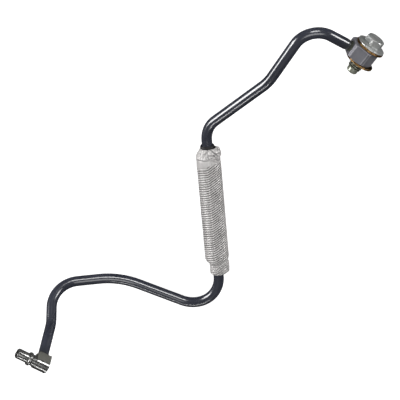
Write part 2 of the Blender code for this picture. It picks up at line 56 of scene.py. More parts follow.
# %% The route's corners
SHIFT = np.array([0.6931, 0.3502, -0.0481])
LINE_LENGTH, LINE_WIDTH, LINE_RISE = 322.6, 139.7, 94.0
SLEEVE_OD = 19.2
WASHER_OD = 21.6
SPANS = np.array([LINE_LENGTH, LINE_WIDTH, 1.0])
BANJO = SPANS * (0.4857, 0.1382, WASHER_OD / 2)
ELBOW = SPANS * (-0.5143, -0.0243, LINE_RISE)
CORNERS = SPANS * [
    (0.4526, 0.4481, 0.332 * LINE_RISE),
    (0.2883, 0.3400, 0.245 * LINE_RISE),
    (0.0856, 0.3443, SLEEVE_OD / 2),
    (-0.2126, -0.5519, SLEEVE_OD / 2),
    (-0.3481, -0.0143, 0.132 * LINE_RISE),
    (-0.4569, 0.2176, 0.382 * LINE_RISE),
    (-0.4848, 0.0752, 0.648 * LINE_RISE),
]
BEND_RADII = LINE_LENGTH * np.array([0.0527, 0.1240, 0.0620, 0.0713, 0.1922, 0.0713, 0.0930])
SLEEVE_BEND = 2
print("bends", len(CORNERS), "with radii", np.round(BEND_RADII, 1))


def unit(v):
    """A vector, or each row of an array of them, divided by its length."""
    v = np.asarray(v, float)
    return v / np.linalg.norm(v, axis=-1, keepdims=True)


# %% [markdown]
# ## The centre line
# Each bend is an arc that touches the runs on both sides of its corner: it starts radius times tan(angle / 2)
# before the corner. Walking the arcs and the straights between them gives the centre line with its direction.

# %% The centre line
ARC_STEP = math.radians(3)
RUN_STEP = 2.5


def bend(before, corner, after, radius):
    """Points and directions on an arc: start + inward r sin a + towards r (1 - cos a), for a from 0 to the angle."""
    inward, outward = unit(corner - before), unit(after - corner)
    angle = math.acos(float(inward @ outward))
    start = corner - inward * radius * math.tan(angle / 2)
    towards = unit(outward - inward * (outward @ inward))
    a = np.linspace(0, angle, max(4, math.ceil(angle / ARC_STEP)) + 1)[:, None]
    points = start + inward * radius * np.sin(a) + towards * radius * (1 - np.cos(a))
    return points, inward * np.cos(a) + towards * np.sin(a)


def straight(start, end):
    """Points from start to end, both left out, a few millimetres apart."""
    count = max(2, round(float(np.linalg.norm(end - start)) / RUN_STEP))
    share = np.linspace(0, 1, count + 1)[1:-1, None]
    return start + (end - start) * share


def centre_line(first, last):
    """The whole line from first to last as (points, directions), straights and arcs in turn."""
    corners = np.vstack([first, CORNERS, last])
    points, directions = [first[None]], [unit(corners[1] - first)[None]]
    for i, radius in enumerate(BEND_RADII):
        arc, ahead = bend(corners[i], corners[i + 1], corners[i + 2], radius)
        run = straight(points[-1][-1], arc[0])
        points += [run, arc]
        directions += [np.repeat(ahead[:1], len(run), axis=0), ahead]
    run = straight(points[-1][-1], last)
    points += [run, last[None]]
    directions += [np.repeat(directions[-1][-1:], len(run) + 1, axis=0)]
    return np.vstack(points), np.vstack(directions)


def distance_along(points):
    """How far along the line each point is."""
    return np.concatenate([[0], np.cumsum(np.linalg.norm(np.diff(points, axis=0), axis=1))])


route, ahead = centre_line(BANJO, ELBOW)
print("centre line", len(route), "points,", round(float(distance_along(route)[-1]), 1), "mm")

# %% [markdown]
# ## Three frames of reference
# The fittings are drawn upright at the origin and then set in place by a frame, a 3 by 4 array of three axes and a
# place. The banjo's x runs up the tube and its z to the bolt's head, the elbow's x runs out along the stem and its z up
# the tube, and the sleeve's z runs down it from its upper mouth.

# %% The frames
ELBOW_TURN = math.radians(-131)
SLEEVE_FROM_BEND = 5.6


def frame_along(origin, forward, turn):
    """Axes at origin with z along forward and x level, then turned about z."""
    level = unit(np.cross(forward, [0, 0, 1]))
    across = level * math.cos(turn) + np.cross(forward, level) * math.sin(turn)
    return np.column_stack([across, np.cross(forward, across), forward, origin])


def placed(points, place):
    """Points drawn in a frame, given in the row's frame, in millimetres."""
    return np.asarray(points, float) @ place[:, :3].T + place[:, 3]


upright = frame_along(BANJO, ahead[0], 0.0)
banjo_place = np.column_stack([upright[:, 2], -upright[:, 1], upright[:, 0], upright[:, 3]])
elbow_place = frame_along(ELBOW, -ahead[-1], ELBOW_TURN)
bend_points, bend_ahead = bend(*CORNERS[SLEEVE_BEND - 1:SLEEVE_BEND + 2], BEND_RADII[SLEEVE_BEND])
sleeve_place = frame_along(bend_points[-1] + bend_ahead[-1] * SLEEVE_FROM_BEND, bend_ahead[-1], 0.0)
for name, place in (("banjo", banjo_place), ("elbow", elbow_place), ("sleeve", sleeve_place)):
    print(name, "at", np.round(place[:, 3], 1), "z axis", np.round(place[:, 2], 2))

# %% [markdown]
# ## Surfaces from grids
# Every new piece is a grid of points: rows along it, columns round it. A point at radius r and angle a lies r cos a and
# r sin a from the axis. Most rows need even spacing, closer on some stretches.

# %% Grids about an axis
TAU = 2 * math.pi


def turns(columns):
    """Evenly spaced angles, once round."""
    return np.linspace(0, TAU, columns, endpoint=False)


def stretches(*runs):
    """Evenly spaced values over each (start, end, count) in turn, with each shared end only once."""
    return np.concatenate([np.linspace(*run)[min(i, 1):] for i, run in enumerate(runs)])


def rings(along, radius, angles, axis=2):
    """A grid of points about an axis, from their distances along it, their radii and their angles."""
    along, radius, angles = np.broadcast_arrays(along, radius, angles)
    grid = np.zeros((*radius.shape, 3))
    grid[..., axis] = along
    grid[..., (axis + 1) % 3] = radius * np.cos(angles)
    grid[..., (axis + 2) % 3] = radius * np.sin(angles)
    return grid


# %% [markdown]
# ## From a grid to a piece
# One helper turns a grid into faces. Its rows either close in a ring, or its two ends are closed by fans to a middle
# point. It also keeps how far along and how far round each point is, so that a finish can follow the surface.

# %% The skin
def grid_faces(rows, columns, closed_rows=False):
    """Corner numbers of the quads of a grid whose last column meets its first, one row of four for each face."""
    r = np.arange(rows if closed_rows else rows - 1)[:, None]
    c = np.arange(columns)[None, :]
    after = (c + 1) % columns
    above = (r + 1) % rows
    quads = [r * columns + c, r * columns + after, above * columns + after, above * columns + c]
    return np.stack(np.broadcast_arrays(*quads), -1).reshape(-1, 4)


def face_outwards(mesh):
    """Merges doubled points and turns every face outwards."""
    work = bmesh.new()
    work.from_mesh(mesh)
    bmesh.ops.remove_doubles(work, verts=work.verts, dist=1e-7)
    bmesh.ops.recalc_face_normals(work, faces=work.faces)
    work.to_mesh(mesh)
    work.free()


def put(name, data, axes=None):
    """A new object in the scene, where a 3 by 4 array of axes and a place in metres puts it."""
    made = bpy.data.objects.new(name, data)
    if axes is not None:
        made.matrix_world = Matrix([*axes.tolist(), [0, 0, 0, 1]])
    bpy.context.scene.collection.objects.link(made)
    return made


def skin(name, grid, closed_rows=False, along=None, marks=None, smooth_angle=35):
    """A piece from a grid in millimetres. Each point keeps its flow (cos turn, sin turn, along) and a mark, 0 to 1."""
    rows, columns = grid.shape[:2]
    points = grid.reshape(-1, 3)
    faces = grid_faces(rows, columns, closed_rows).tolist()
    along = np.arange(rows) if along is None else along
    where = rings(along[:, None], 1.0, turns(columns)).reshape(-1, 3)
    marks = np.zeros(rows * columns) if marks is None else np.broadcast_to(marks, (rows, columns)).ravel()
    for first in () if closed_rows else (0, (rows - 1) * columns):
        ring = np.arange(first, first + columns)
        faces += np.stack([ring, np.roll(ring, -1), np.full_like(ring, len(points))], -1).tolist()
        points = np.vstack([points, points[ring].mean(0)])
        where = np.vstack([where, [[0, 0, where[first, 2]]]])
        marks = np.append(marks, marks[first])
    mesh = bpy.data.meshes.new(name)
    mesh.from_pydata(((points + SHIFT) * MM).tolist(), [], faces)
    for label, kind, field, values in (("flow", "FLOAT_VECTOR", "vector", where), ("marks", "FLOAT", "value", marks)):
        mesh.attributes.new(label, kind, "POINT").data.foreach_set(field, values.astype(np.float32).ravel())
    face_outwards(mesh)
    mesh.shade_smooth()
    mesh.set_sharp_from_angle(angle=math.radians(smooth_angle))
    print(name, len(mesh.polygons), "faces")
    return put(name, mesh)


# %% [markdown]
# ## Turned pieces
# A turned piece is a profile spun about its axis. Its corners are rounded first, because a truly sharp edge catches no
# light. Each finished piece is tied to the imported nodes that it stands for.

# %% Profiles
CUT_SHARE = 0.45  # the most of a profile's side that the rounding of one corner may take


def turned(profile, columns, axis=2):
    """Each (distance, radius) of the profile as a ring about the axis."""
    profile = np.asarray(profile, float)
    return rings(profile[:, :1], profile[:, 1:], turns(columns), axis)


def rounded(profile, radius, steps):
    """The profile with its corners cut back by up to radius and replaced by short arcs."""
    p = np.asarray(profile, float)
    out = [p[:1]]
    share = np.linspace(0, 1, steps + 1)[:, None]
    for before, corner, after in zip(p, p[1:], p[2:]):
        back, on = before - corner, after - corner
        cut = min(radius, CUT_SHARE * np.linalg.norm(back), CUT_SHARE * np.linalg.norm(on))
        start, end = corner + unit(back) * cut, corner + unit(on) * cut
        out.append(start * (1 - share) ** 2 + 2 * corner * share * (1 - share) + end * share ** 2)
    return np.vstack(out + [p[-1:]])


def ride(piece, slot, *stands_for):
    """The piece goes with the one body and stands for CAD nodes, whose imported pieces are hidden. Its slot is not
    used.
    """
    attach(piece, "root")
    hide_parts(*stands_for)
    return piece


# %% [markdown]
# ## Waves
# Hand-crimped foil and braze are uneven in a smooth way. A sum of a few sine waves with seeded directions is smooth and
# the same on every run. It closes on itself round a tube, since it depends only on the place.

# %% Smooth seeded unevenness
def waves(points, size, seed, count=12):
    """Between about -1 and 1: the mean of sines of points along seeded directions, whose wavelength is near size."""
    draw = np.random.default_rng(seed)
    directions = unit(draw.normal(size=(count, 3))) * TAU / (size * draw.uniform(0.7, 1.5, (count, 1)))
    phases = draw.uniform(0, TAU, count)
    return np.sin(points @ directions.T + phases).sum(-1) / math.sqrt(count)


# %% [markdown]
# ## Carrying a ring
# Cold-drawn tube is the same ring all along. So its skin is one ring carried along the centre line without twisting: at
# each step it turns only as much as the line does.

# %% Carrying a ring along the line
AWAY = (0.3, 0.1, 1.0)  # any direction that the line doesn't start in


def carried(points, directions, radii, columns):
    """Rings about points: each ring's start is the last one's, less its part along the new direction."""
    across = np.zeros_like(points)
    start = unit(np.cross(directions[0], AWAY))
    for i, direction in enumerate(directions):
        start = unit(start - direction * (start @ direction))
        across[i] = start
    side = np.cross(directions, across)
    a = turns(columns)[None, :, None]
    ring = across[:, None] * np.cos(a) + side[:, None] * np.sin(a)
    return points[:, None] + ring * np.asarray(radii)[:, None, None]


# %% [markdown]
# ## The tube
# The tube is 8 mm outside. Near the banjo it is swaged down to a neck, in a shoulder that is a quarter of an ellipse:
# radius = neck + (tube - neck) sqrt(1 - (1 - share)^2). Brazing heated both ends, and the marks keep how much, for the
# paint.

# %% The tube's skin
TUBE_OD = 8.0
TUBE_COLUMNS = 48
BLOCK_ACROSS_FLATS = 20.2
BLOCK_OFFSET = 2.9
TUBE_START = BLOCK_OFFSET + BLOCK_ACROSS_FLATS / 2 + 0.2
ELBOW_HEIGHT = 7.3
IN_ELBOW = 1.0
NECK_RADIUS = 2.8
NECK_LENGTH = 1.7
SHOULDER = 2.4
HEAT_REACH = 4.0, 2.0  # how far the heat went from the union and from the elbow
tube_points, tube_ahead = centre_line(BANJO + ahead[0] * TUBE_START, ELBOW - ahead[-1] * (ELBOW_HEIGHT - IN_ELBOW))
shoulder_at = stretches((0, NECK_LENGTH, 5), (NECK_LENGTH, NECK_LENGTH + SHOULDER, 12))
tube_along = distance_along(tube_points)
keep = tube_along > shoulder_at[-1]
tube_points = np.vstack([tube_points[0] + tube_ahead[0] * shoulder_at[:, None], tube_points[keep]])
tube_ahead = np.vstack([np.repeat(tube_ahead[:1], len(shoulder_at), axis=0), tube_ahead[keep]])
tube_along = distance_along(tube_points)
rise = np.clip((tube_along - NECK_LENGTH) / SHOULDER, 0, 1)
tube_radii = NECK_RADIUS + (TUBE_OD / 2 - NECK_RADIUS) * np.sqrt(1 - (1 - rise) ** 2)
heated = np.exp(-tube_along / HEAT_REACH[0]) + np.exp((tube_along - tube_along[-1]) / HEAT_REACH[1])
tube_grid = carried(tube_points, tube_ahead, tube_radii, TUBE_COLUMNS)
tube = skin("tube", tube_grid, along=tube_along, marks=np.clip(heated, 0, 1)[:, None])
ride(tube, "painted_steel", "feed_tube")

# %% [markdown]
# ## The banjo block
# The block is hexagon bar, whose flats have the polar radius a / cos(t), with t the angle from a flat's middle. A
# turned chamfer takes the corners off both ends. The smaller of the two, taken softly, gives the curved edge that every
# nut has. A narrow flat breaks each corner.

# %% The hexagon surface
# How wide the bright line along each edge is; the line is partly wear and partly painted highlight.
EDGE_WEAR_AND_HIGHLIGHT = 0.14
CORNER_BLEND, CHAMFER_BLEND = 0.08, 0.14


def soft_min(a, b, blend):
    """The smaller of two values, rounded where they cross over a width of about blend."""
    h = np.clip(0.5 + 0.5 * (b - a) / blend, 0, 1)
    return b * (1 - h) + a * h - blend * h * (1 - h)


def hexagon_radius(angle, across_flats, corner_cut):
    """Polar radius of a hexagon with a flat at angle 0 and its corners cut back, and how far the two curves differ."""
    sixth = math.pi / 3
    from_flat = (angle + sixth / 2) % sixth - sixth / 2
    from_corner = angle % sixth - sixth / 2
    flat = across_flats / 2 / np.cos(from_flat)
    cut = (across_flats / 2 / math.cos(sixth / 2) - corner_cut) / np.cos(from_corner)
    return soft_min(flat, cut, CORNER_BLEND), flat - cut


def hexagon_body(across_flats, levels, envelope, first_flat, corner_cut, columns):
    """Rings whose radius is the smaller of the hexagon and the turned envelope, and the edge wear and painted highlight
    along its edges.
    """
    a = turns(columns)
    flat, apart = hexagon_radius(a - first_flat, across_flats, corner_cut)
    envelope = envelope[:, None]
    r = soft_min(flat[None, :], envelope, CHAMFER_BLEND)
    # Painted highlight and wear: a narrow line along each edge and corner flat, which the finish makes bright.
    wear_and_highlight = np.maximum(np.exp(-(apart / EDGE_WEAR_AND_HIGHLIGHT) ** 2)[None, :], np.exp(-((flat - envelope) / EDGE_WEAR_AND_HIGHLIGHT) ** 2))
    return rings(levels[:, None], r, a), wear_and_highlight * (flat < envelope + 3 * EDGE_WEAR_AND_HIGHLIGHT)


# %% [markdown]
# ## The block's sizes
# Both chamfers are turned at 30 degrees, so the envelope widens with the distance from the nearer end face, and the
# rings lie close together there. The bolt's hole closes the piece on its inside.

# %% The block
BLOCK_HEIGHT = 11.0
HALF = BLOCK_HEIGHT / 2
BLOCK_COLUMNS = 360
BLOCK_CORNER = BLOCK_ACROSS_FLATS / 2 / math.cos(math.pi / 6)
BLOCK_CORNER_CUT = 0.55
CHAMFER_SLOPE = math.tan(math.radians(30))
CHAMFER_INSET, CHAMFER_WIDTH = 2.0, 2.6  # where the chamfer starts inside the corners, and how wide it gets
CLOSE_RINGS = 2.2
HOLE_RADIUS, HOLE_CHAMFER = 5.3, 0.4
drop = stretches((0, CLOSE_RINGS, 14), (CLOSE_RINGS, HALF, 8))
levels = np.concatenate([HALF - drop, -(HALF - drop[::-1])[1:]])
from_end = np.abs(HALF - np.abs(levels))
envelope = BLOCK_CORNER - CHAMFER_INSET + np.minimum(from_end / CHAMFER_SLOPE, CHAMFER_WIDTH)
body, wear_and_highlight = hexagon_body(BLOCK_ACROSS_FLATS, levels, envelope, 0.0, BLOCK_CORNER_CUT, BLOCK_COLUMNS)
body[..., 0] += BLOCK_OFFSET
hole = turned([(HALF, HOLE_RADIUS), (HALF - HOLE_CHAMFER, HOLE_RADIUS - HOLE_CHAMFER / 2),
               (-HALF + HOLE_CHAMFER, HOLE_RADIUS - HOLE_CHAMFER / 2), (-HALF, HOLE_RADIUS)], BLOCK_COLUMNS)
block_grid = placed(np.concatenate([body, hole[::-1]]), banjo_place)
block_marks = np.concatenate([wear_and_highlight, np.zeros((len(hole), BLOCK_COLUMNS))])
block = skin("union_block", block_grid, closed_rows=True, marks=block_marks, smooth_angle=40)
ride(block, "block_steel", "banjo_block")

# %% [markdown]
# ## The bolt's head and flange
# The head is the block's hexagon again, under a chamfer that is nearly a dome, and its top is a few low rings. The
# flange is a turned profile with a rounded rim.

# %% The bolt's head and flange
WASHER_THICKNESS = 1.1
GAP = 0.3
HEAD_SEAT = HALF + WASHER_THICKNESS + 2 * GAP
FLANGE_RADIUS = 10.5
FLANGE_TOP = HEAD_SEAT + 1.7
FLANGE_COLUMNS = 120
# How wide the bright line round the flange's rim is; partly wear, partly painted highlight.
RIM_WEAR_AND_HIGHLIGHT = 0.2
HEAD_ACROSS_FLATS = 12.4
HEAD_TOP = FLANGE_TOP + 5.2
HEAD_TURN = math.radians(22)
HEAD_CORNER_CUT = 0.2
HEAD_CHAMFER, HEAD_FALL = 1.3, 1.15  # how far down the chamfer starts, and how steeply it closes in
HEAD_COLUMNS = 240
head_corner = HEAD_ACROSS_FLATS / 2 / math.cos(math.pi / 6)
head_levels = stretches((FLANGE_TOP - 0.9, HEAD_TOP - 1.6, 6), (HEAD_TOP - 1.6, HEAD_TOP, 14))
head_envelope = head_corner + 0.3 - np.clip(head_levels - (HEAD_TOP - HEAD_CHAMFER), 0, 2) * HEAD_FALL
head_sides, head_wear_and_highlight = hexagon_body(
    HEAD_ACROSS_FLATS, head_levels, head_envelope, HEAD_TURN, HEAD_CORNER_CUT, HEAD_COLUMNS)
top_rings = turned([(HEAD_TOP + 0.06, 5.5), (HEAD_TOP + 0.15, 4.6), (HEAD_TOP + 0.24, 3.0), (HEAD_TOP + 0.28, 1.2)],
                   HEAD_COLUMNS)
flange = turned(rounded([(HEAD_SEAT, 4.0), (HEAD_SEAT, FLANGE_RADIUS), (HEAD_SEAT + 0.9, FLANGE_RADIUS),
                         (HEAD_SEAT + 1.2, FLANGE_RADIUS - 1.0), (HEAD_SEAT + 1.25, FLANGE_RADIUS - 1.5),
                         (FLANGE_TOP + 0.35, 7.9), (FLANGE_TOP + 0.35, 5.0)], 0.22, 4), FLANGE_COLUMNS)
head_grid = placed(np.concatenate([head_sides, top_rings]), banjo_place)
head_marks = np.concatenate([head_wear_and_highlight, np.zeros(top_rings.shape[:2])])
bolt_head = skin("bolt_head", head_grid, marks=head_marks)
# The flange's rim is marked for the same bright line: partly wear, partly painted highlight.
rim_wear_and_highlight = np.exp(-((np.hypot(flange[..., 0], flange[..., 1]) - FLANGE_RADIUS) / RIM_WEAR_AND_HIGHLIGHT) ** 2)
bolt_flange = skin("bolt_flange", placed(flange, banjo_place), marks=rim_wear_and_highlight, smooth_angle=30)
ride(bolt_head, "zinc_plate", "banjo_bolt")
ride(bolt_flange, "zinc_plate")

# %% [markdown]
# ## The bolt's thread and tip
# The shank has an M10 thread and a plain pilot tip with its bore open. The thread is a true helix: its radius is a
# triangle wave of the height plus the turn's share of one pitch.

# %% The thread and tip
THREAD_RADIUS = 5.0
THREAD_DEPTH = 0.75
PITCH = 1.5
THREAD_END = -16.4
THREAD_COLUMNS = 96
TIP_LENGTH = 3.2
TIP_RADIUS = 4.0
BORE_OF_BOLT = 2.3
ROWS_PER_PITCH = 10


def threaded(top, bottom):
    """Rings whose radius is the crest less a clipped |2 frac(z / pitch + turn) - 1| wave that fades at both ends."""
    rows = int((top - bottom) / PITCH * ROWS_PER_PITCH) + 1
    z = np.linspace(top, bottom, rows)[:, None]
    a = turns(THREAD_COLUMNS)
    phase = (z / PITCH + a / TAU) % 1.0
    tooth = np.clip(1.35 * np.abs(2 * phase - 1) - 0.1, 0, 1)
    fade = np.clip(np.minimum(top - z, z - bottom) / (0.8 * PITCH), 0, 1)
    r = THREAD_RADIUS - THREAD_DEPTH * (1 - tooth * fade)
    # The second value is how deep each point lies in a root; the finish paints it dark as shade.
    return rings(z, r, a), (1 - tooth) * fade


thread_foot = THREAD_END + TIP_LENGTH
thread, roots = threaded(-HALF + 1.0, thread_foot)
tip = turned(rounded([(thread_foot, THREAD_RADIUS - THREAD_DEPTH), (thread_foot - 0.3, TIP_RADIUS),
                      (THREAD_END + 0.9, TIP_RADIUS), (THREAD_END, TIP_RADIUS - 0.8), (THREAD_END, BORE_OF_BOLT),
                      (THREAD_END + 8.0, BORE_OF_BOLT), (THREAD_END + 8.4, 0.4)], 0.15, 3), THREAD_COLUMNS)
root_shade_marks = np.concatenate([roots, np.zeros(tip.shape[:2])])
thread_grid = placed(np.concatenate([thread, tip]), banjo_place)
bolt_thread = skin("bolt_thread", thread_grid, marks=root_shade_marks, smooth_angle=50)
ride(bolt_thread, "zinc_plate")

# %% [markdown]
# ## The washers
# Soft copper folded double, so that it crushes to the faces. The profile is a flat ring with two rounded folds and
# a groove between them on its rim.

# %% The washers
WASHER_HOLE = 5.2
# How dark the faces against the steel are painted, as shade.
SEAT_SHADE = 0.6


def washer(name, middle, stands_for):
    """Two rounded folds one above the other, each half the thickness, round the bolt."""
    h = WASHER_THICKNESS / 2 + GAP * 0.8
    rim = WASHER_OD / 2
    a = np.linspace(math.pi / 2, -math.pi / 2, 9)
    folds = [(middle + s * h / 2 + h / 2 * math.sin(t), rim - h / 2 + h / 2 * math.cos(t)) for s in (1, -1) for t in a]
    profile = [(middle + h, WASHER_HOLE)] + folds + [(middle - h, WASHER_HOLE)]
    # Painted shade: dark in the groove between the folds and on the faces against the steel, pale on the crowns.
    fold_shade = np.concatenate([[SEAT_SHADE], 1 - np.cos(a), 1 - np.cos(a), [SEAT_SHADE]])[:, None]
    piece = skin(name, placed(turned(profile, 144), banjo_place), closed_rows=True, marks=fold_shade)
    return ride(piece, "copper", stands_for)


washer_at = HALF + GAP + WASHER_THICKNESS / 2
upper_washer = washer("washer_by_head", washer_at, "upper_washer")
lower_washer = washer("washer_by_seat", -washer_at, "lower_washer")

# %% [markdown]
# ## The elbow's body
# A milled block with a half-round underside: seen from its end it is a tombstone standing on its head. It is one
# outline carried along the stem's axis, whose top drops in a quarter circle at the front. A rounded edge of radius r
# has fallen back by r - sqrt(r^2 - (r - d)^2) at the distance d from its end.

# %% The elbow's body
ELBOW_HALF_WIDTH = 5.2
ELBOW_BACK, ELBOW_FRONT = 5.5, 5.9
BACK_EDGE, FRONT_EDGE = 0.45, 0.3
SWEEP_START = 4.3
NECK = 4.35
ELBOW_COLUMNS = 144


def round_over(distance, radius):
    """How far a rounded edge has fallen back at each distance from its end."""
    into = np.clip(radius - distance, 0, radius)
    return radius - np.sqrt(np.clip(radius ** 2 - into ** 2, 0, None))


def tombstone(half_width, top, columns):
    """Polar radius of a half circle below, straight sides and a flat top, and which of its points are milled."""
    c, s = np.cos(turns(columns)), np.sin(turns(columns))
    side = half_width[:, None] / np.maximum(np.abs(c), 1e-6)
    lid = top[:, None] / np.maximum(s, 1e-6)
    above = soft_min(side, np.where(s > 0, lid, 1e3), 0.5)
    return np.where(s < 0, half_width[:, None], above), np.clip(s / 0.12, 0, 1)


u = stretches((-ELBOW_BACK, -ELBOW_BACK + 0.5, 6), (-ELBOW_BACK + 0.5, 4.2, 12), (4.2, ELBOW_FRONT, 10))
edge, front = round_over(u + ELBOW_BACK, BACK_EDGE), round_over(ELBOW_FRONT - u, FRONT_EDGE)
sweep = np.clip((u - SWEEP_START) / (ELBOW_FRONT - SWEEP_START), 0, 1)
body_top = ELBOW_HEIGHT - (ELBOW_HEIGHT - NECK) * (1 - np.sqrt(1 - sweep ** 2)) - edge
outline, milled = tombstone(ELBOW_HALF_WIDTH - edge - front, body_top - front, ELBOW_COLUMNS)
elbow_grid = rings(u[:, None], outline, turns(ELBOW_COLUMNS), axis=0)
elbow_body = skin("elbow_body", placed(elbow_grid, elbow_place), along=u, marks=milled, smooth_angle=38)
ride(elbow_body, "machined_steel", "elbow_fitting")

# %% [markdown]
# ## The elbow's stem
# The stem is turned: a neck, a groove, the bead that a clip holds, a plain end and the oil's bore. So it is one profile
# spun about its axis.

# %% The elbow's stem
STEM_RADIUS = 3.95
STEM_REACH = 21.0
STEM_COLUMNS = 96
BEAD_FOOT, BEAD_RADIUS = 4.05, 5.3
BEAD_CENTRE = 10.0
BORE_RADIUS = 2.6
arc = np.linspace(0, math.pi, 17)
bead = np.stack([BEAD_CENTRE - 1.5 * np.cos(arc), BEAD_FOOT + (BEAD_RADIUS - BEAD_FOOT) * np.sin(arc)], -1)
stem_profile = rounded(np.vstack([
    [(5.0, NECK), (7.6, NECK), (7.9, 4.0), (8.3, 3.9)], bead,
    [(11.9, 3.8), (12.3, STEM_RADIUS), (STEM_REACH - 0.7, STEM_RADIUS), (STEM_REACH, STEM_RADIUS - 0.6),
     (STEM_REACH, BORE_RADIUS + 0.25), (STEM_REACH - 0.3, BORE_RADIUS), (STEM_REACH - 12, BORE_RADIUS),
     (STEM_REACH - 12.5, 0.3)],
]), 0.14, 3)
stem_grid = placed(turned(stem_profile, STEM_COLUMNS, axis=0), elbow_place)
stem = skin("elbow_stem", stem_grid, along=stem_profile[:, 0], smooth_angle=38)
ride(stem, "machined_steel")

# %% [markdown]
# ## The brazed joints
# Braze runs round the tube as a small concave fillet and is never quite even. So its profile swells and shrinks slowly
# round the joint.

# %% The braze rings
UNEVEN = 0.18
UNDER = 0.3  # how far the fillet's foot goes into what it joins


def braze_ring(name, place, axis, low, inner, wall, height, seed, stands_for):
    """A fillet from (low, inner + wall) up to (low + height, inner), its size varied by waves round the ring."""
    share = np.linspace(0, 1, 9)[:, None]
    a = turns(96)
    size = 1 + UNEVEN * waves(rings(0.0, 1.0, a), 1.3, seed)
    across = inner + wall * size * (1 - np.sin(share * math.pi / 2)) + 0.05
    along = low + height * size * (1 - np.cos(share * math.pi / 2))
    radii = np.vstack([np.full_like(a, inner - UNDER), across, np.full_like(a, inner - UNDER)])
    rise = np.vstack([np.full_like(a, low - UNDER), along, along[-1:]])
    return ride(skin(name, placed(rings(rise, radii, a, axis), place), closed_rows=True), "braze", stands_for)


elbow_braze = braze_ring("braze_at_elbow", elbow_place, 2, ELBOW_HEIGHT, TUBE_OD / 2, 0.8, 0.9, 5, "elbow_braze")
union_braze = braze_ring("braze_at_union", banjo_place, 0, TUBE_START - 0.2, NECK_RADIUS, 0.9, 1.0, 6, "banjo_braze")

# %% [markdown]
# ## The heat sleeve
# Thin aluminium foil is crimped, wound to a tube and closed by a lapped seam, and its ends are squeezed on to the tube
# by hand. The table is its radius before that, as pairs of distance from the upper mouth and radius.

# %% The sleeve's sizes along it
COLLAR = 7.0
BAND = 7.4
RIDGES, RIDGE_PITCH = 41, 1.86
SHOULDER_RUN = 3.6
LOWER_COLLAR = 9.4
RIDGES_END = COLLAR + BAND + RIDGES * RIDGE_PITCH
COLLAR_START = RIDGES_END + SHOULDER_RUN
SLEEVE_LENGTH = COLLAR_START + LOWER_COLLAR
BASE_KNOTS = np.array([
    (0, 5.4), (0.8, 6.0), (2.5, 7.2), (4.6, 8.6), (6.3, 9.3), (6.9, 9.45), (7.3, 8.95), (9, 9.15), (14, 9.3),
    (16, 9.35), (RIDGES_END - 1, 9.35), (RIDGES_END + 0.6, 9.2), (RIDGES_END + 2.2, 8.5), (COLLAR_START, 7.75),
    (COLLAR_START + 2, 7.6), (SLEEVE_LENGTH - 3, 7.8), (SLEEVE_LENGTH - 1.2, 7.6), (SLEEVE_LENGTH, 6.9),
])
print("sleeve", round(SLEEVE_LENGTH, 1), "mm long,", RIDGES, "ridges")

# %% [markdown]
# ## How the crimps slant
# Seen from above, the crimps cross the sleeve's left half level and its right half at a slant. So one table says how
# far down a crimp has run by each turn past the seam, and one where the crimps start.

# %% How the crimps slant
SEAM_TURN = math.radians(263.7)
RIGHT_TURN = math.radians(166.8)
SLANT_KNOTS = np.array([
    (0.0, 0.0), (0.4, -2.15), (0.8, -3.75), (1.2, -4.8), (2.0, -6.2), (4.0, -10.0), (5.3, -12.9), (5.8, -14.0),
    (TAU, -14.8),
])
START_KNOTS = np.array([(0.0, 12.0), (1.7, 11.0), (3.1, 12.5), (4.9, 15.7), (TAU, 13.2)])


def past_seam(turn):
    """How far each turn lies past the seam, from 0 up to a whole turn."""
    return (SEAM_TURN - turn) % TAU


def slant(turn):
    """How far down the sleeve a crimp has run by each turn, which starts afresh at the seam."""
    return np.interp(past_seam(turn), SLANT_KNOTS[:, 0], SLANT_KNOTS[:, 1])


# %% [markdown]
# ## The foil before it is crimped
# The radius comes from the table. Both collars lean over to one side, as the hand that squeezed them left them.

# %% The foil's rows and its smooth radius
FOIL_COLUMNS = 160
ROW_STEP, ROWS_PER_RIDGE = 0.22, 8
z = np.concatenate([np.arange(0, COLLAR + BAND, ROW_STEP),
                    np.arange(COLLAR + BAND, RIDGES_END, RIDGE_PITCH / ROWS_PER_RIDGE),
                    np.arange(RIDGES_END, SLEEVE_LENGTH, ROW_STEP), [SLEEVE_LENGTH]])
turn = turns(FOIL_COLUMNS)


def smooth_step(x, start, width):
    """0 before start, 1 after start + width, and a smooth rise between."""
    t = np.clip((x - start) / width, 0, 1)
    return t * t * (3 - 2 * t)


def crumple(place, size, seed):
    """Folds with sharp valleys: 0 along creases and up to about 1 between them."""
    return np.clip(np.abs(waves(place, size, seed)) * 1.4, 0, 1)


def collars(z, turn):
    """How far each point is in the upper collar, in the lower one, and to the side that both lean to."""
    along = z[:, None]
    upper = 1 - smooth_step(along, COLLAR - 0.8, 1.2)
    lower = smooth_step(along, RIDGES_END + 2, 2.5)
    return upper, lower, np.cos(turn - RIGHT_TURN)[None, :]


def smooth_radius(z, turn):
    """The radius from the table, with both collars leaning over to one side."""
    along = z[:, None]
    upper, lower, to_right = collars(z, turn)
    r = np.interp(z, BASE_KNOTS[:, 0], BASE_KNOTS[:, 1])[:, None] * np.ones_like(turn)
    bulge = (1 - smooth_step(along, 1.5, 6)) * smooth_step(along, -1, 2)
    r = r + upper * np.clip(to_right, 0, 1) ** 1.5 * 2.6 * bulge
    return r + lower * 1.35 * to_right * (1 - 0.6 * smooth_step(along, SLEEVE_LENGTH - 1.5, 1.5))


# %% [markdown]
# ## Crimps and seam
# A crimp is a sharp groove between round crowns: 1 - |sin| of the winding's phase. It fades in at each turn's start and
# out at the lower shoulder. At the seam one edge laps over the other and stands up.

# %% Crimps and seam
RIDGE_DEPTH = 0.62
LAP_HEIGHT = 0.16


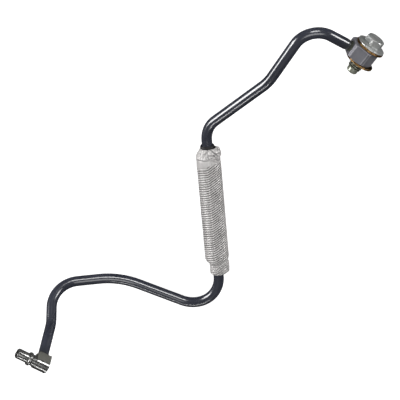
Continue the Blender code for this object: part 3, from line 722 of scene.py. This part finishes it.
def crimps(along, turn, place, to_right):
    """How deep the crimps cut in, how dark their grooves are painted as shade, and the share of each point that is
    crimped.
    """
    phase = (along - slant(turn)) / RIDGE_PITCH + 0.06 * waves(place, 12, 3)
    groove = 1 - np.abs(np.sin(math.pi * phase))
    starts = np.interp(past_seam(turn), START_KNOTS[:, 0], START_KNOTS[:, 1])
    crimped = smooth_step(along, starts - 0.6, 1.6)
    fading = 1 - 0.45 * smooth_step(along, RIDGES_END - 1, 4)
    cut = RIDGE_DEPTH * crimped * fading * groove * (1 + 0.3 * waves(place, 9, 4))
    # Painted shade: the grooves are darkened, a little more on the sleeve's right side than on its left.
    dark = crimped * fading * smooth_step(groove, 0.25, 0.42) * (0.90 + 0.10 * np.clip(2 * to_right, -1, 1))
    return cut, dark, crimped


def lapped(turn):
    """How high the seam stands: up where one edge laps over the other, and down beside it."""
    from_seam = past_seam(turn)
    return LAP_HEIGHT * (np.exp(-from_seam / 0.10) - 0.6 * np.exp(-(TAU - from_seam) / 0.08))


# %% [markdown]
# ## Creases
# Folded foil has round crowns and sharp valleys, which is the absolute value of a wave. The collars and the band's
# right side are creased at two sizes. What lies deep is painted dark as shade, so that is kept beside the radius.

# %% Creases, and the foil's outside
MEAN_RADIUS = 9.0


def creased(along, place, sides, crimped):
    """How deep creases sink the two collars and the band, and how dark they are painted as shade."""
    upper, lower, to_right = sides
    deep = 0.35 + 0.65 * np.clip(0.4 + to_right, 0, 1)
    creases, fine_creases = 1 - crumple(place, 4.2, 11), 1 - crumple(place, 2.0, 12)
    low_creases, low_fine = 1 - crumple(place, 3.6, 15), 1 - crumple(place, 1.6, 16)
    band = smooth_step(along, COLLAR, 0.6) * (1 - crimped)
    slack = 0.05 * waves(place, 7, 13)
    band_creases = np.clip(to_right + 0.3, 0, 1) * (1 - crumple(place, 3.0, 14))
    cut = upper * deep * (1.15 * creases + 0.5 * fine_creases - 0.45)
    cut = cut + lower * (0.40 * low_creases + 0.15 * low_fine - 0.1) + band * (slack + 0.45 * band_creases)
    # Painted shadow under the upper collar's lip, on the sleeve's left side.
    shadow_under_lip = np.exp(-((along - COLLAR - 0.3) / 0.35) ** 2) * np.clip(0.5 - to_right, 0, 1)
    # Painted shade: the creases of the collars and the band are darkened, more on the right side.
    dark = upper * deep * (creases ** 3 + 0.6 * fine_creases ** 4) + 0.35 * lower * low_creases ** 3
    return cut, dark + 0.6 * band * band_creases ** 3 + shadow_under_lip


def foil_radius(z, turn):
    """The smooth radius less the crimps and creases, with the lap, and how dark each point is painted as shade, 0 to 1.
    """
    along, sides = z[:, None], collars(z, turn)
    place = rings(along, MEAN_RADIUS, turn)
    grooves, groove_shade, crimped = crimps(along, turn, place, sides[2])
    dents, shadow = creased(along, place, sides, crimped)
    return smooth_radius(z, turn) - grooves + lapped(turn) * crimped - dents, np.clip(groove_shade + shadow, 0, 1)


foil_r, foil_shade = foil_radius(z, turn)
print("foil radius from", round(float(foil_r.min()), 2), "to", round(float(foil_r.max()), 2), "mm")

# %% [markdown]
# ## The foil's wall
# An inner wall close under the bottoms of the grooves makes the foil a closed shell. It follows the smooth radius,
# since it hardly shows.

# %% The foil's piece
WALL = 0.75
inner_z = stretches((SLEEVE_LENGTH, RIDGES_END, 12), (RIDGES_END, COLLAR, 20), (COLLAR, 0, 8))
from_mouth = np.minimum(inner_z, SLEEVE_LENGTH - inner_z)[:, None]
inner_r = smooth_radius(inner_z, turn) - WALL - 0.4 * smooth_step(from_mouth, 0, 3)
foil_along = np.concatenate([z, inner_z])
foil_grid = placed(rings(foil_along[:, None], np.concatenate([foil_r, inner_r]), turn), sleeve_place)
# Painted shade: the inner wall is marked fully dark.
foil_marks = np.concatenate([foil_shade, np.ones(inner_r.shape)])
foil = skin("foil_sleeve", foil_grid, closed_rows=True, along=foil_along, marks=foil_marks, smooth_angle=80)
ride(foil, "foil", "heat_sleeve")

# %% [markdown]
# ## The woven liner
# Woven glass cloth holds the hot foil off the tube. Only its cut end shows, so its rows are closest there. Threads go
# over and under each other, which is a wave along the cloth times a wave round it.

# %% The liner
LINER_START, LINER_END = 8.0, SLEEVE_LENGTH - 0.9
LINER_INSIDE = 4.05
UNDER_FOIL = 1.28
CLOSE_WEAVE = 12
THREAD_WIDTH = 1.1
THREADS_ROUND = 36
cloth_z = stretches((LINER_START, LINER_END - CLOSE_WEAVE, 30), (LINER_END - CLOSE_WEAVE, LINER_END, 60))
cloth_turn = turns(THREADS_ROUND * 6)
weave = np.sin(cloth_z * TAU / THREAD_WIDTH)[:, None] * np.sin(cloth_turn * THREADS_ROUND)[None, :]
cloth_r = smooth_radius(cloth_z, cloth_turn) - UNDER_FOIL + 0.08 * weave
end_share = np.array([0.25, 0.5, 0.75, 1.0])[:, None]
end_r = cloth_r[-1] * (1 - end_share) + LINER_INSIDE * end_share
end_z = LINER_END + 0.35 * np.sin(end_share * math.pi) + 0.12 * np.sin(THREADS_ROUND * cloth_turn) * (1 - end_share)
cloth_r = np.vstack([cloth_r, end_r, np.full((1, len(cloth_turn)), LINER_INSIDE)])
cloth_height = np.vstack([np.broadcast_to(cloth_z[:, None], (len(cloth_z), len(cloth_turn))), end_z,
                          np.full((1, len(cloth_turn)), LINER_START)])
cloth_grid = rings(cloth_height, cloth_r, cloth_turn)
liner = skin("woven_liner", placed(cloth_grid, sleeve_place), closed_rows=True, along=cloth_height.mean(1))
ride(liner, "glass_cloth", "sleeve_liner")

# %% [markdown]
# ## The band at the mouth
# A moulded rubber band closes the sleeve's upper mouth on the tube. It is a turned profile with well rounded edges.

# %% The band at the mouth
band_profile = rounded([(-2.1, 3.95), (-2.1, 5.1), (-0.6, 5.5), (0.5, 5.3), (0.5, 3.95)], 0.4, 4)
band = skin("mouth_band", placed(turned(band_profile, 72), sleeve_place), closed_rows=True)
ride(band, "black_band", "sleeve_ring")

# %% [markdown]
# ## Writing a finish
# Shader maths reads best as sums. A small class wraps a socket, and each operator adds the Math node that does it, so
# that a plain number may stand on either side.

# %% Sums of sockets
class Value:
    """A socket in a sum: each operator adds one Math node."""

    def __init__(self, finish, socket):
        self.finish, self.socket = finish, socket

    def math(self, operation, first, second=0.0, clamp=False):
        node = self.finish.add("ShaderNodeMath", {"operation": operation, "use_clamp": clamp}, {0: first, 1: second})
        return Value(self.finish, node.outputs[0])

    def __add__(self, other):
        return self.math("ADD", self, other)

    def __sub__(self, other):
        return self.math("SUBTRACT", self, other)

    def __rsub__(self, other):
        return self.math("SUBTRACT", other, self)

    def __mul__(self, other):
        return self.math("MULTIPLY", self, other)

    __radd__, __rmul__ = __add__, __mul__

    def above(self, edge, soft=0.05):
        """0 below edge, 1 above edge + soft, straight between."""
        return self.math("MULTIPLY", self - edge, 1.0 / soft, clamp=True)


# %% [markdown]
# ## Adding nodes
# One method adds a node of any kind, with its settings and what goes into its sockets. The sky uses it too.

# %% Any node
class Nodes:
    """A node tree, with the one method that adds any node to it."""

    def __init__(self, tree):
        self.tree = tree

    def add(self, kind, settings=None, inputs=None):
        """A node of any kind: settings first, then the values or links of its sockets."""
        node = self.tree.nodes.new(kind)
        for key, value in (settings or {}).items():
            setattr(node, key, value)
        for key, value in (inputs or {}).items():
            self.feed(node.inputs[key], value)
        return node

    def feed(self, socket, value):
        """Links a socket to another, or sets it to a number or a colour."""
        if isinstance(value, Value):
            value = value.socket
        if isinstance(value, bpy.types.NodeSocket):
            self.tree.links.new(value, socket)
        elif hasattr(value, "__len__") and len(value) == 3 and len(socket.default_value) == 4:
            socket.default_value = (*value, 1.0)
        else:
            socket.default_value = value


# %% [markdown]
# ## A finish
# Each finish is one Principled shader, and each method makes one thing that a finish is made of. Colours are mixed
# by Mix nodes, since a Math node would turn them grey.

# %% A finish
class Finish(Nodes):
    """One procedural material, with a method for each thing that its finish is made of."""

    def __init__(self, name, roughness, metallic=0.0, **constants):
        self.material = bpy.data.materials.new(name)
        self.material.use_nodes = True
        super().__init__(self.material.node_tree)
        self.shader = self.tree.nodes["Principled BSDF"]
        constants.update(Roughness=roughness, Metallic=metallic)
        for key, value in constants.items():
            self.shader.inputs[key.replace("_", " ")].default_value = value

    def place(self, scale=(1, 1, 1), attribute=None):
        """Object coordinates, or an attribute that the mesh carries, stretched."""
        if attribute is None:
            start = self.add("ShaderNodeTexCoord").outputs["Object"]
        else:
            start = self.add("ShaderNodeAttribute", {"attribute_name": attribute}).outputs["Vector"]
        return self.add("ShaderNodeMapping", {}, {"Vector": start, "Scale": scale}).outputs["Vector"]

    def noise(self, scale, detail=3.0, rough=0.5, where=None):
        """Smooth clouds from 0 to 1, about as many of them to the metre as scale says."""
        where = self.place() if where is None else where
        inputs = {"Vector": where, "Scale": scale, "Detail": detail, "Roughness": rough}
        return Value(self, self.add("ShaderNodeTexNoise", {}, inputs).outputs["Fac"])

    def mark(self, name):
        """A number that the mesh carries for each point."""
        return Value(self, self.add("ShaderNodeAttribute", {"attribute_name": name}).outputs["Fac"])

    def ramp(self, factor, low, high, start=0.3, end=0.7):
        """From one colour to another as factor goes from start to end."""
        node = self.add("ShaderNodeValToRGB", {}, {"Fac": factor})
        for item, position, color in zip(node.color_ramp.elements, (start, end), (low, high)):
            item.position, item.color = position, (*color, 1.0)
        return node.outputs["Color"]

    def mix(self, factor, a, b):
        """The colour a where factor is 0 and b where it is 1."""
        return self.add("ShaderNodeMix", {"data_type": "RGBA"}, {0: factor, 6: a, 7: b}).outputs[2]

    def bumped(self, height, strength, distance):
        """A bump of a height from 0 to 1 that stands for a distance in metres."""
        node = self.add("ShaderNodeBump", {}, {"Height": height, "Strength": strength, "Distance": distance})
        self.feed(self.shader.inputs["Normal"], node.outputs["Normal"])

    def color(self, value):
        self.feed(self.shader.inputs["Base Color"], value)

    def roughness(self, value):
        self.feed(self.shader.inputs["Roughness"], value)

    def on(self, *pieces):
        """Puts the finish on its pieces."""
        for piece in pieces:
            piece.data.materials.clear()
            piece.data.materials.append(self.material)
        print(self.material.name, "on", *(piece.name for piece in pieces))


# %% [markdown]
# ## Paint
# The tube wears a thin blue-black stoved paint with slow clouds of gloss, orange peel and a few grains of dust. Where
# the fittings were brazed on, heat has dulled it and turned it brown-green.

# %% Painted tube
paint = Finish("painted_tube", 0.30, 0.0, Coat_Weight=1.0, Coat_Roughness=0.15, Coat_IOR=1.75)
cloud = paint.noise(60)
peel = paint.noise(500, 2)
dust = paint.noise(2600, 1).above(0.74, 0.05)
heated = paint.mark("marks")
fresh = paint.ramp(cloud, (0.024, 0.027, 0.040), (0.041, 0.045, 0.062))
warmed = paint.mix(heated, fresh, (0.030, 0.034, 0.024))
paint.color(paint.mix(0.5 * dust, warmed, (0.10, 0.10, 0.11)))
paint.roughness(0.22 + 0.12 * cloud + 0.25 * heated)
paint.bumped(peel + 0.4 * dust, 0.10, 0.00001)
paint.on(tube)

# %% [markdown]
# ## Phosphated steel
# The union's block has a dark grey phosphate skin, dull because it is made of tiny crystals. Its edges are painted
# bright, partly as spanner wear and partly as a painted highlight, and a noise makes that line come and go.

# %% Phosphated block
dark = Finish("phosphated_steel", 0.48, 0.55)
cloud = dark.noise(90, 4)
grain = dark.noise(1500)
# Painted highlight along the edges, partly spanner wear: the edge line lightens the colour.
rubbed_and_highlit = dark.mark("marks") * (0.20 + dark.noise(320, 2))
skin_color = dark.ramp(cloud, (0.185, 0.185, 0.210), (0.260, 0.258, 0.285))
dark.color(dark.mix(rubbed_and_highlit, skin_color, (0.60, 0.59, 0.62)))
dark.roughness(0.44 + 0.14 * grain)
dark.bumped(grain, 0.30, 0.00004)
dark.on(block)

# %% [markdown]
# ## Zinc plate
# The bolt is zinc plated: pale silver with a hint of blue-green, a little cloudy, with fine pits. Its edges and the
# flange's rim are painted bright, partly as spanner wear and partly as a painted highlight.

# %% Plated head and flange
zinc = Finish("zinc_plate", 0.36, 0.75)
cloud = zinc.noise(140)
pits = zinc.noise(1100)
# The marks lighten the head's edges and the flange's rim: painted highlight, partly wear.
rubbed_and_highlit = zinc.mark("marks")
plate = zinc.ramp(cloud, (0.50, 0.52, 0.52), (0.67, 0.68, 0.665))
zinc.color(zinc.mix(0.7 * rubbed_and_highlit, plate, (0.86, 0.86, 0.84)))
zinc.roughness(0.24 + 0.16 * pits)
zinc.bumped(pits, 0.25, 0.00004)
zinc.on(bolt_head, bolt_flange)

# %% [markdown]
# ## The thread
# The thread's roots are painted dark as shade and its crests are left pale. So the colour follows the depth that was
# stored for each point.

# %% Thread with painted root shade
root_shaded_thread = Finish("thread_with_root_shade", 0.3, 0.6)
smear = root_shaded_thread.noise(300)
root = root_shaded_thread.mark("marks")
crest = root_shaded_thread.ramp(smear, (0.32, 0.34, 0.25), (0.56, 0.58, 0.50), 0.35)
# Painted shade: the roots darken towards near black.
root_shaded_thread.color(root_shaded_thread.mix(root, crest, (0.070, 0.080, 0.050)))
root_shaded_thread.roughness(0.20 + 0.22 * smear)
root_shaded_thread.bumped(root_shaded_thread.noise(1400), 0.30, 0.00004)
root_shaded_thread.on(bolt_thread)

# %% [markdown]
# ## Copper
# Soft copper goes brown in the hand. The crowns of its folds keep the copper's colour, and the groove between them
# and the faces against the steel are painted dark as shade.

# %% Copper washers
copper = Finish("soft_copper", 0.30, 0.9)
tarnish = copper.noise(220, 4)
crown = copper.ramp(tarnish, (0.22, 0.105, 0.032), (0.58, 0.36, 0.15))
# The marks darken the copper as painted shade.
copper.color(copper.mix(copper.mark("marks"), crown, (0.030, 0.016, 0.008)))
copper.roughness(0.24 + 0.2 * tarnish)
copper.bumped(copper.noise(900, 2), 0.2, 0.00004)
copper.on(upper_washer, lower_washer)

# %% [markdown]
# ## Machined steel
# The elbow is plain steel. Its stem and half-round back are turned and polished, with fine rings from the flow
# attribute. The flat sides are only milled, so they are rougher and hold an olive film of oil.

# %% The elbow's steel
bright = Finish("machined_steel", 0.2, 0.84)
cloud = bright.noise(150)
lines = bright.noise(2.5, where=bright.place((0.3, 0.3, 1), "flow"))
milled = bright.mark("marks")
polished = bright.ramp(cloud, (0.27, 0.27, 0.265), (0.37, 0.37, 0.36))
bright.color(bright.mix(0.85 * milled, polished, (0.230, 0.230, 0.200)))
bright.roughness(0.15 + 0.08 * cloud + 0.28 * milled)
bright.bumped(lines, 0.10, 0.00001)
bright.on(stem, elbow_body)

# %% [markdown]
# ## Braze
# Braze is left as it froze. It is dark, a little green from its flux, and rough.

# %% Tarnished braze
dull = Finish("tarnished_braze", 0.5, 0.5)
flux = dull.noise(500, 4)
dull.color(dull.ramp(flux, (0.030, 0.034, 0.026), (0.120, 0.130, 0.095)))
dull.roughness(0.38 + 0.3 * flux)
dull.bumped(flux, 0.5, 0.0001)
dull.on(elbow_braze, union_braze)

# %% [markdown]
# ## Crimped foil
# Crimped and handled foil scatters light almost like pale paint, with small glints. Its grooves and creases are
# painted dark as shade from the stored depth.

# %% Crimped foil
metal = Finish("crimped_foil", 0.42, 0.44)
cloud = metal.noise(110, 4)
glints = metal.noise(620, 3, 0.6)
painted_foil_shade = metal.mark("marks")
clean = metal.ramp(cloud, (0.62, 0.60, 0.59), (0.80, 0.78, 0.77))
# The stored marks darken the colour as painted shade.
metal.color(metal.mix(0.93 * painted_foil_shade, clean, (0.055, 0.052, 0.050)))
metal.roughness(0.36 + 0.22 * cloud)
metal.bumped(glints, 0.35, 0.00006)
metal.on(foil)

# %% [markdown]
# ## The liner's cloth
# Glass cloth is off-white, with darker gaps between its threads. They run round and along the sleeve, so the noise is
# stretched by the flow attribute.

# %% Woven glass cloth
cloth = Finish("woven_glass_cloth", 0.8)
threads = cloth.noise(3, 2, where=cloth.place((14, 14, 6), "flow"))
cloth.color(cloth.ramp(threads, (0.20, 0.19, 0.17), (0.56, 0.54, 0.49), 0.35, 0.65))
cloth.roughness(0.7 + 0.2 * threads)
cloth.bumped(threads, 0.5, 0.0001)
cloth.on(liner)

# %% [markdown]
# ## Rubber
# The band is moulded black rubber, satin to the touch. It has the faint pebble of its mould and a grey bloom.

# %% Rubber band
rubber = Finish("black_rubber", 0.5)
bloom = rubber.noise(200)
rubber.color(rubber.ramp(bloom, (0.006, 0.006, 0.008), (0.020, 0.020, 0.022), 0.35, 0.75))
rubber.roughness(0.42 + 0.2 * bloom)
rubber.bumped(rubber.noise(1500, 2), 0.3, 0.00003)
rubber.on(band)

# %% [markdown]
# ## Where the camera stands
# A long lens looks down on the line, turned about its own axis as the photograph is. Its three axes come first, since
# the lamps are placed by them.

# %% The camera's axes
CAMERA = np.array([406.6, 167.8, 878.5])
TARGET = np.array([-24.5, 3.9, -8.8])
RIGHT = np.array([0.7180, -0.6579, -0.2274])
view = unit(TARGET - CAMERA)
right = unit(RIGHT - view * (RIGHT @ view))
up = np.cross(right, view)
print("camera", round(float(np.linalg.norm(TARGET - CAMERA))), "mm from the line, looking along", np.round(view, 2))

# %% [markdown]
# ## The floor
# A plain pale sheet that runs well past the picture's edges. It gives off a little light of its own, as a lit white
# sweep does, which keeps the shadows faint. The bright steel doesn't mirror it.

# %% The floor
FLOOR = 4000
FLOOR_GLOW = 0.82
floor_mesh = bpy.data.meshes.new("floor")
floor_corners = [(x * FLOOR * MM, y * FLOOR * MM, 0) for x, y in ((-1, -1), (1, -1), (1, 1), (-1, 1))]
floor_mesh.from_pydata(floor_corners, [], [(0, 1, 2, 3)])
floor = put("floor", floor_mesh)
floor.visible_glossy = False
pale = Finish("pale floor", 0.9, Emission_Color=(1, 1, 1, 1), Emission_Strength=FLOOR_GLOW)
pale.color((0.72, 0.72, 0.72))
pale.on(floor)

# %% [markdown]
# ## The lamps
# Five soft boxes face the line. The large left box lays the long highlight down the tube, the low strip the thin line
# at its foot, and the right box lights the foil. The top box and the front fill open the shadows.

# %% The lamps
# name: where it stands, how far off, its width and height, its power
LAMPS = {
    "left_box": ((-0.94, 0.09, 0.31), 1000, (400, 520), 6.5),
    "low_strip": ((-0.27, -0.93, 0.24), 1000, (560, 70), 1.2),
    "right_box": ((0.83, 0.20, 0.50), 1000, (300, 300), 2.6),
    "top_box": ((0.06, 0.50, 0.86), 1300, (520, 300), 4.6),
    "front_fill": ((0.10, -0.38, 0.92), 1500, (1000, 800), 5.0),
}


def toward(across, rise, near, distance):
    """A place at a distance from the middle of the picture: parts to the right, up, and towards the camera."""
    return TARGET + unit(right * across + up * rise - view * near) * distance


def lamp(name, place, size, power):
    """A rectangular lamp at a place, in millimetres, that faces the line with its height along the picture's."""
    data = bpy.data.lights.new(name, "AREA")
    data.shape = "RECTANGLE"
    data.size, data.size_y = size[0] * MM, size[1] * MM
    data.energy = power
    forward = unit(TARGET - place)
    side = unit(np.cross(forward, -view if abs(forward @ up) > 0.8 else up))
    put(name, data, np.column_stack([side, np.cross(side, forward), -forward, place * MM]))


for name, (direction, distance, size, power) in LAMPS.items():
    lamp(name, toward(*direction, distance), size, power)
print("lamps", *LAMPS)

# %% [markdown]
# ## The sky
# The sky is dim below and bright above. One dark card hangs in it, out of the picture, and the bright stem mirrors it
# as a black line. A ray meets it where its cosine to the card's middle is above that of the half width.

# %% The sky
SKY_BELOW, SKY_ABOVE = 0.13, 1.15
SKY_FOOT, SKY_RISE = -0.15, 0.40
CARD_HALF_WIDTH = math.radians(7.5)
CARD_EDGE, CARD_DARK = 0.003, 0.93
world = bpy.data.worlds.new("soft_sky")
bpy.context.scene.world = world
world.use_nodes = True
sky = Nodes(world.node_tree)
ray = sky.add("ShaderNodeTexCoord").outputs["Generated"]
height = Value(sky, sky.add("ShaderNodeSeparateXYZ", {}, {0: ray}).outputs["Z"])
card_way = unit(right * 0.70 - up * 0.03 - view * 0.70)
card = sky.add("ShaderNodeVectorMath", {"operation": "DOT_PRODUCT"}, {0: ray, 1: tuple(card_way)}).outputs["Value"]
in_card = Value(sky, card).above(math.cos(CARD_HALF_WIDTH), CARD_EDGE)
strength = (SKY_BELOW + (SKY_ABOVE - SKY_BELOW) * height.above(SKY_FOOT, SKY_RISE)) * (1 - CARD_DARK * in_card)
sky.feed(sky.tree.nodes["Background"].inputs["Strength"], strength)
bpy.context.scene.view_settings.view_transform = "Standard"
print("sky from", SKY_BELOW, "to", SKY_ABOVE)

# %% [markdown]
# ## The camera
# The photograph's perspective fits a long lens. Its focal length is 1287 pixels on a picture 400 pixels wide.

# %% The camera
FILM = 36
FOCAL_PIXELS, PICTURE_PIXELS = 1287, 400
camera_data = bpy.data.cameras.new("camera")
camera_data.sensor_width = FILM
camera_data.lens = FILM * FOCAL_PIXELS / PICTURE_PIXELS
camera_data.clip_start, camera_data.clip_end = 0.05, 20
axes = np.column_stack([right, up, -view, (CAMERA + SHIFT) * MM])
bpy.context.scene.camera = put("camera", camera_data, axes)
print("lens", round(camera_data.lens, 1), "mm")

# %% [markdown]
# ## The last line
# The last cell brings the scene up to date.

# %% The last line
bpy.context.view_layer.update()
